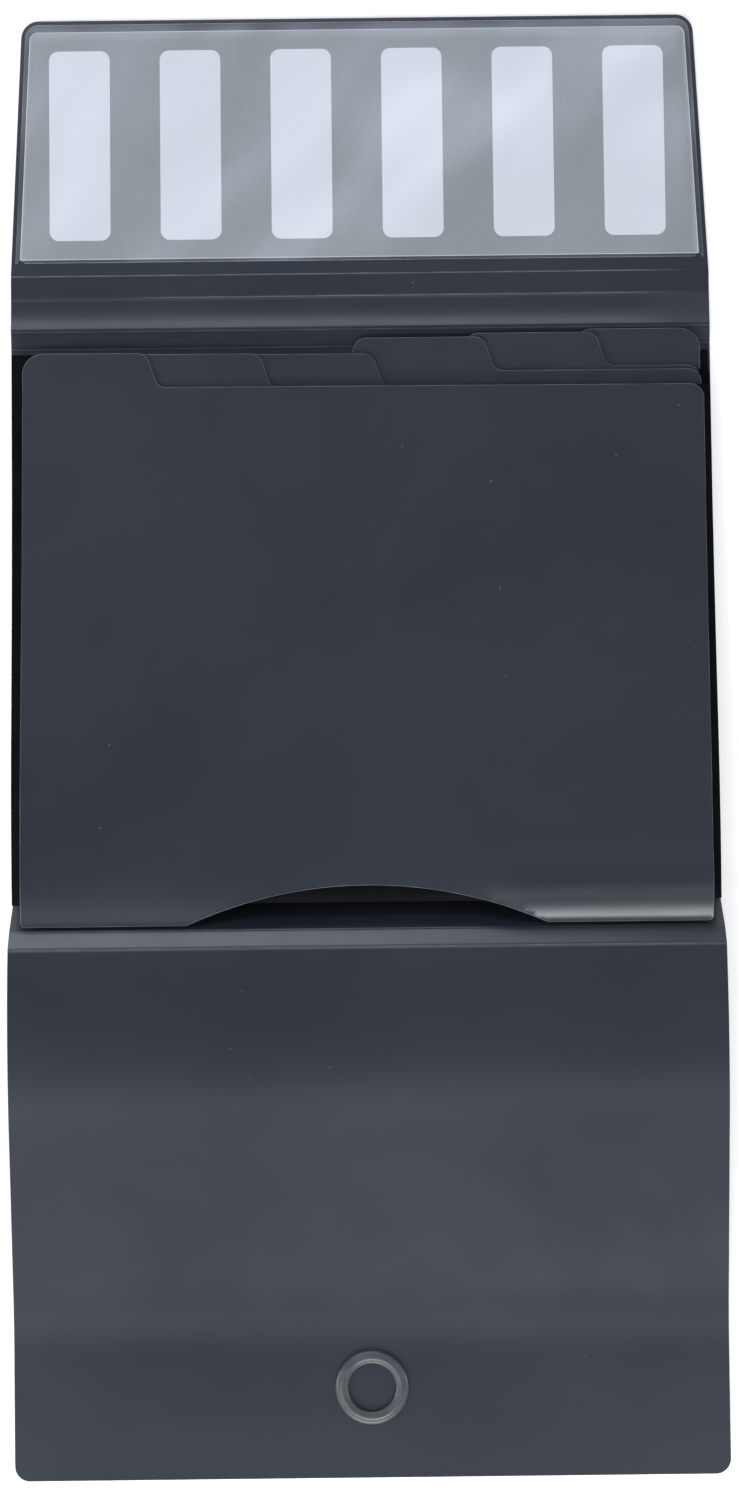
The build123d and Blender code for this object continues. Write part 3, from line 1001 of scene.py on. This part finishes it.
divider_wave_length = 150 * mm
divider_wave_height = 0.18 * mm
divider_wave_seed = 11.3
roll_length = 17 * mm
roll_slope = 0.46
swell_length = 27 * mm
swell_rise = roll_slope * roll_length / 2
foot_inner_end = 60 * mm
foot_fade = 30 * mm
left_roll_share = 0.2
front_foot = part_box("divider_1")[0].y


def rolled_foot(x, y):
    """How the front divider swells and then rolls down towards its right foot, and a little
    towards its left one."""
    from_foot = y - front_foot
    roll = swell_rise * ease((roll_length + swell_length - from_foot) / swell_length)
    roll -= roll_slope / (2 * roll_length) * max(roll_length - from_foot, 0) ** 2
    right = ease((x - foot_inner_end) / foot_fade + 0.5)
    left = ease((-x - foot_inner_end) / foot_fade + 0.5)
    return roll * (right + left_roll_share * left)


def divider_lift(number):
    """How high a divider's underside lies. Its lie comes from its CAD sheet, with a slight
    wave of its own."""

    def lift(x, y):
        seed = divider_wave_seed * number
        height = lies[number](y) + ripple(x, y, divider_wave_length, divider_wave_height, seed)
        if number == 1:
            height += rolled_foot(x, y)
        return height

    return lift


front_grid = 2.5 * mm
trim = 1.0 * mm
slips = [1.2 * mm, 1.5 * mm, 1.6 * mm, 0.0, 0.0, 0.0]
leans = [1.1 * mm, 1.1 * mm, 1.0 * mm, 0.3 * mm, 0.0, 0.0]
tilt = 0.004


def laid_askew(outline, slip, lean):
    """An outline whose tab end has slipped towards the ridge and to the right, as sheets in a
    soft bellows do. Its foot stays in place."""
    foot = min(point.y for point in outline)
    length = max(point.y for point in outline) - foot
    placed = []
    for point in outline:
        share = (point.y - foot) / length
        down = (slip + tilt * point.x) * share if slip else 0.0
        placed.append(Vector((point.x + lean * share, point.y - down)))
    return placed


for number in range(1, divider_count + 1):
    low_corner, high_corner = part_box(f"divider_{number}")
    corners = divider_corners(number, low_corner.y, high_corner.y, high_corner.x - trim)
    divider = cut_sheet(
        f"tabbed_sheet_{number}",
        laid_askew(rounded_outline(corners), slips[number - 1], leans[number - 1]),
        divider_sheet,
        divider_lift(number),
        front_grid if number == 1 else sheet_grid,
    )
    divider.data.materials.append(divider_plastic)
    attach(divider, f"leaf_{number}")
    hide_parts(f"divider_{number}")


# Bellows back: black film welded to the back panel. It shows as a dark margin above the
# tabs and beside the sheets.

film_sheet = 0.2 * mm
film_tuck = 0.9 * mm
film_grid = 20 * mm
film_cut_round = 0.08 * mm
crinkle_height = 0.12 * mm
film_low, film_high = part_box("back_film")


def black_film_finish(name):
    """Soft black polypropylene film with fine crinkles."""
    finish, shader = new_finish(name)
    tree = finish.node_tree
    tone = mapped(tree, noise_at(tree, 40, 4), noise_span, (0, 1))
    colour = mixed(tree, tone, (0.0036, 0.0037, 0.0040), (0.0056, 0.0056, 0.0060))
    rough = mapped(tree, noise_at(tree, 160, 4), noise_span, (0.34, 0.5))
    crinkle = bumped(tree, noise_at(tree, 220, 5, (1, 0.35, 1)), crinkle_height, 0.5)
    wire(shader, colour, rough, crinkle)
    shader.inputs["Specular IOR Level"].default_value = 0.03
    shader.inputs["Specular Tint"].default_value = (0.7, 0.8, 1, 1)
    return finish


black_film = black_film_finish("black_film")


def even_outline(low_x, high_x, low_y, high_y, radius):
    """A rectangle from above, with its four corners rounded alike."""
    places = ((low_x, low_y), (high_x, low_y), (high_x, high_y), (low_x, high_y))
    return rounded_outline([(x, y, radius) for x, y in places])


film_outline = even_outline(
    film_low.x + film_tuck, film_high.x - film_tuck, film_low.y, film_high.y, 0
)
bellows_back = cut_sheet(
    "bellows_back", film_outline, film_sheet, lambda x, y: film_low.z, film_grid, film_cut_round
)
bellows_back.data.materials.append(black_film)
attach(bellows_back, "back")
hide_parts("back_film")


# Gussets: each pocket is shut at the left, the right and the foot by a strip of the same
# film, folded once. One half is welded under its divider and the other on top of what lies
# behind. The fold lies half way between them.

gusset_width = 18.0 * mm
gusset_hug = 0.14 * mm
weld_below_shoulder = 2.0 * mm
gusset_rows = 40
gusset_columns = 9
bow_from = 0.7
bow_length = 0.3
bow_power = 1.5
crumple_height = 0.12 * mm
crumple_length = 16 * mm
crumple_seed = 5.7
crumple_across = 40
crumple_from = 0.65
crumple_share = 0.25


def film_strip(name, rows, finish):
    """A strip of film, from rows of points on its middle face."""
    count = len(rows[0])
    points = []
    for side in (film_sheet / 2, -film_sheet / 2):
        points += [(x, y, z + side) for row in rows for x, y, z in row]
    half = len(points) // 2
    faces = []
    for row in range(len(rows) - 1):
        for column in range(count - 1):
            here = row * count + column
            quad = (here, here + 1, here + count + 1, here + count)
            faces.append(quad)
            faces.append(tuple(half + corner for corner in reversed(quad)))
    last = (len(rows) - 1) * count
    border = list(range(count)) + [row * count + count - 1 for row in range(1, len(rows))]
    border += list(range(last + count - 2, last - 1, -1))
    border += [row * count for row in range(len(rows) - 2, 0, -1)]
    first_rim = len(faces)
    for index, here in enumerate(border):
        there = border[(index + 1) % len(border)]
        faces.append((there, here, half + here, half + there))
    piece = finish_mesh(name, points, faces, [0.0] * len(points), range(first_rim, len(faces)))
    edit = bmesh.new()
    edit.from_mesh(piece.data)
    bmesh.ops.recalc_face_normals(edit, faces=edit.faces[:])
    edit.to_mesh(piece.data)
    edit.free()
    piece.data.materials.append(finish)
    return piece


def gusset_height(number, front_half, share, y):
    """Height of a gusset half at y. share runs from 0 at its weld to 1 at the fold."""
    over = lies[number](y) - gusset_hug
    if number < divider_count:
        under = lies[number + 1](y) + divider_sheet + gusset_hug
    else:
        under = film_high.z + gusset_hug
    middle = (over + under) / 2
    hugging = over if front_half else under
    bow = ease((share - bow_from) / bow_length) ** bow_power
    return hugging + bow * (middle - hugging)


def crumple(number, x, y, share):
    """The unevenness of the film near its fold."""
    seed = crumple_seed * number
    height = crumple_height * ease((share - crumple_from) / crumple_share)
    return ripple(crumple_across * x, y, crumple_length, height, seed)


def film_rows(spot):
    """Rows of points, from spot(share of the strip's length, share from weld to fold)."""
    return [
        [spot(row / gusset_rows, column / gusset_columns) for column in range(gusset_columns + 1)]
        for row in range(gusset_rows + 1)
    ]


for number in range(1, divider_count + 1):
    gusset_low, gusset_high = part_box(f"gusset_{number}")
    fold_y = gusset_low.y
    fold_x = gusset_high.x - film_tuck
    top_y = gusset_high.y
    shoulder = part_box(f"divider_{number}")[1].y - tab_height - weld_below_shoulder
    for front_half in (True, False):
        place = "front" if front_half else "rear"
        for side, side_name in ((-1, "left"), (1, "right")):
            side_top = min(top_y, shoulder) if side > 0 and number < divider_count else top_y

            def side_spot(along, share):
                x = fold_x - gusset_width * (1 - share)
                low_y = fold_y + gusset_width * (1 - share)
                y = low_y + (side_top - low_y) * along
                z = gusset_height(number, front_half, share, y) + crumple(number, x, y, share)
                return side * x, y, z

            half_strip = film_strip(
                f"gusset_{number}_{side_name}_{place}", film_rows(side_spot), black_film
            )
            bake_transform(half_strip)
            if front_half and side < 0:
                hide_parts(f"gusset_{number}")

        def foot_spot(along, share):
            y = fold_y + gusset_width * (1 - share)
            half_length = fold_x - gusset_width * (1 - share)
            z = gusset_height(number, front_half, share, y)
            return half_length * (2 * along - 1), y, z

        foot_strip = film_strip(f"gusset_{number}_foot_{place}", film_rows(foot_spot), black_film)
        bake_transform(foot_strip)


# Index card: a sheet of grey board, cut to the pouch's shape. It lies loose in the pouch and
# slides out at its open side. Its cut edges show the white core, in a pale band widened to
# stand in also for a painted highlight of the film where it passes over the edge.

card_low, card_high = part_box("index_card")
card_corner_radius = 4.0 * mm
card_foot_radius = 0.8 * mm
card_inset = 4.1 * mm
card_pushed_in = 1.1 * mm
# The card's pale edge band: the white core, widened as a painted highlight of the film over it.
card_edge_and_glint_band = 0.45 * mm
card_cut_round = 0.08 * mm
card_grid = 12 * mm


def board_finish(name, deep, pale, edge, fibre_scale, roughness):
    """Paper or board: a fine fibre and a paler cut edge."""
    finish, shader = new_finish(name)
    tree = finish.node_tree
    fibre = noise_at(tree, fibre_scale, 6, (1, 0.4, 1), 0.65)
    colour = mixed(tree, mapped(tree, fibre, noise_span, (0, 1)), deep, pale)
    colour = mixed(tree, whitening_and_highlight_at(tree), colour, edge)
    rough = mapped(tree, noise_at(tree, 300, 3), noise_span, roughness)
    wire(shader, colour, rough, bumped(tree, noise_at(tree, 1800, 3), grain_height, 0.4))
    return finish


card_board = board_finish(
    "card_board", (0.28, 0.31, 0.33), (0.31, 0.34, 0.36), (0.62, 0.66, 0.72), 900, (0.65, 0.75)
)
card_foot = card_low.y + card_pushed_in
card_head = card_high.y + card_pushed_in
foot_half = flap_half_width(card_foot) - card_inset
head_half = flap_half_width(card_head) - card_inset
card_right_side = [
    (foot_half, card_foot, card_foot_radius),
    (head_half, card_head, card_corner_radius),
]
card = cut_sheet(
    "grey_card",
    even_sided(card_right_side),
    card_high.z - card_low.z,
    lambda x, y: card_low.z,
    card_grid,
    card_cut_round,
    card_edge_and_glint_band,
)
card.data.materials.append(card_board)
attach(card, "card")
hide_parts("index_card")


# Writing labels: six labels of white paper with rounded corners, one for each pocket. They
# are stuck on the card and slide with it.

label_corner_radius = 4.5 * mm
label_round = 0.03 * mm
label_off_side = 0.65 * mm
label_off_foot = 0.4 * mm
label_rise = card_pushed_in + label_off_foot
label_draw_in = 0.005
label_count = 6
label_paper = board_finish(
    "label_paper", (0.76, 0.79, 0.86), (0.80, 0.83, 0.89), (0.84, 0.86, 0.90), 1400, (0.57, 0.67)
)
for number in range(1, label_count + 1):
    label_low, label_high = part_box(f"index_label_{number}")
    aside = -label_off_side - label_draw_in * (label_low.x + label_high.x) / 2
    label = cut_sheet(
        f"writing_label_{number}",
        even_outline(
            label_low.x + aside,
            label_high.x + aside,
            label_low.y + label_rise,
            label_high.y + label_rise,
            label_corner_radius,
        ),
        label_high.z - label_low.z,
        lambda x, y: label_low.z,
        card_grid,
        label_round,
    )
    label.data.materials.append(label_paper)
    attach(label, "card")
    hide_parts(f"index_label_{number}")


# Label pouch: clear glossy film welded to the flap along its left, top and right edges and
# open towards the crease, so that the card slides in. It stands a little slack over the card.

pouch_low, pouch_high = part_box("label_pouch")
pouch_inset = 2.0 * mm
pouch_weld = 1.6 * mm
pouch_corner_radius = 6.0 * mm
pouch_film = 0.12 * mm
pouch_grid = 3 * mm
pouch_cut_round = 0.05 * mm
notch_half_width = 2.0 * mm
notch_depth = 2.4 * mm
notch_in = 0.5 * mm
slack_run = 3.5 * mm
least_slack = 0.55 * mm
air_over_flap = 0.02 * mm
air_under_top = 0.05 * mm
spare_air = 0.07 * mm
wide_fold = (34 * mm, 90 * mm, 60 * mm, 2.2)
small_fold = (11 * mm, -40 * mm, 30 * mm, 7.4)
small_fold_share = 0.25
film_fold_slant = math.radians(58)
film_fold_height = 16 * mm
film_haze = 0.09
# How hazy the cut edges are painted: partly whitened film, partly a painted highlight.
film_edge_haze_and_highlight = 0.22


def slack_fold(x, y, across, drift, along, seed):
    """A soft fold of the film, up to one unit high, that drifts sideways along the pouch."""
    return noise.noise(Vector((x / across + y / drift, y / along, seed)))


def pouch_lift(x, y):
    """How high the film lies: down on its welds, and slack with soft folds over the card."""
    to_side = flap_half_width(y) - pouch_inset - pouch_weld - abs(x)
    to_top = pouch_high.y - pouch_weld - y
    slack = ease(min(to_side, to_top) / slack_run)
    room = pouch_high.z - flap_face - pouch_film - air_under_top
    folds = (1 + slack_fold(x, y, *wide_fold)) / 2
    folds += small_fold_share * slack_fold(x, y, *small_fold)
    rise = least_slack + (room - least_slack - spare_air) * min(max(folds, 0), 1)
    return flap_face + air_over_flap + slack * rise


def clear_film_finish(name):
    """Clear, glossy film: nearly all of it lets the card show, and the rest is a faint haze
    and the gleam of the lamps on its soft folds. Its cut edges are painted whiter and hazier,
    partly as whitened film and partly as a painted highlight."""
    finish, gleam = new_finish(name)
    tree = finish.node_tree
    whitening_and_highlight = whitening_and_highlight_at(tree)
    milky = mapped(tree, noise_at(tree, 12, 3, (1, 0.4, 1)), noise_span, (0, 1))
    tint = mixed(tree, milky, (0.50, 0.54, 0.62), (0.58, 0.62, 0.70))
    # Cut edges painted whiter: partly whitened film, partly a painted highlight.
    colour = mixed(tree, whitening_and_highlight, tint, (0.9, 0.92, 0.95))
    gleam.inputs["Metallic"].default_value = 0.7
    rough = mapped(tree, noise_at(tree, 25, 3), noise_span, (0.28, 0.35))
    folds = noise_at(tree, 10, 1.7, (0.55, 1.0, 1), 0.45, film_fold_slant)
    wire(gleam, colour, rough, bumped(tree, folds, film_fold_height, 1.0))
    clear = add_node(tree, "ShaderNodeBsdfTransparent")
    share = mapped(tree, whitening_and_highlight, (0, 1), (film_haze, film_edge_haze_and_highlight))
    film = tree.nodes.new("ShaderNodeMixShader")
    tree.links.new(share, film.inputs[0])
    tree.links.new(clear.outputs[0], film.inputs[1])
    tree.links.new(gleam.outputs[0], film.inputs[2])
    tree.links.new(film.outputs[0], tree.nodes["Material Output"].inputs["Surface"])
    return finish


clear_film = clear_film_finish("clear_film")
mouth_half = flap_half_width(pouch_low.y) - pouch_inset
top_half = flap_half_width(pouch_high.y) - pouch_inset
notch_x = mouth_half - notch_in - notch_half_width
pouch_right_side = [
    (notch_x - notch_half_width, pouch_low.y, 0),
    (notch_x, pouch_low.y + notch_depth, 0),
    (notch_x + notch_half_width, pouch_low.y, 0),
    (mouth_half, pouch_low.y, 0),
    (top_half, pouch_high.y, pouch_corner_radius),
]
pouch = cut_sheet(
    "clear_pouch",
    even_sided(pouch_right_side),
    pouch_film,
    pouch_lift,
    pouch_grid,
    pouch_cut_round,
)
pouch.data.materials.append(clear_film)
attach(pouch, "flap")
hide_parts("label_pouch")
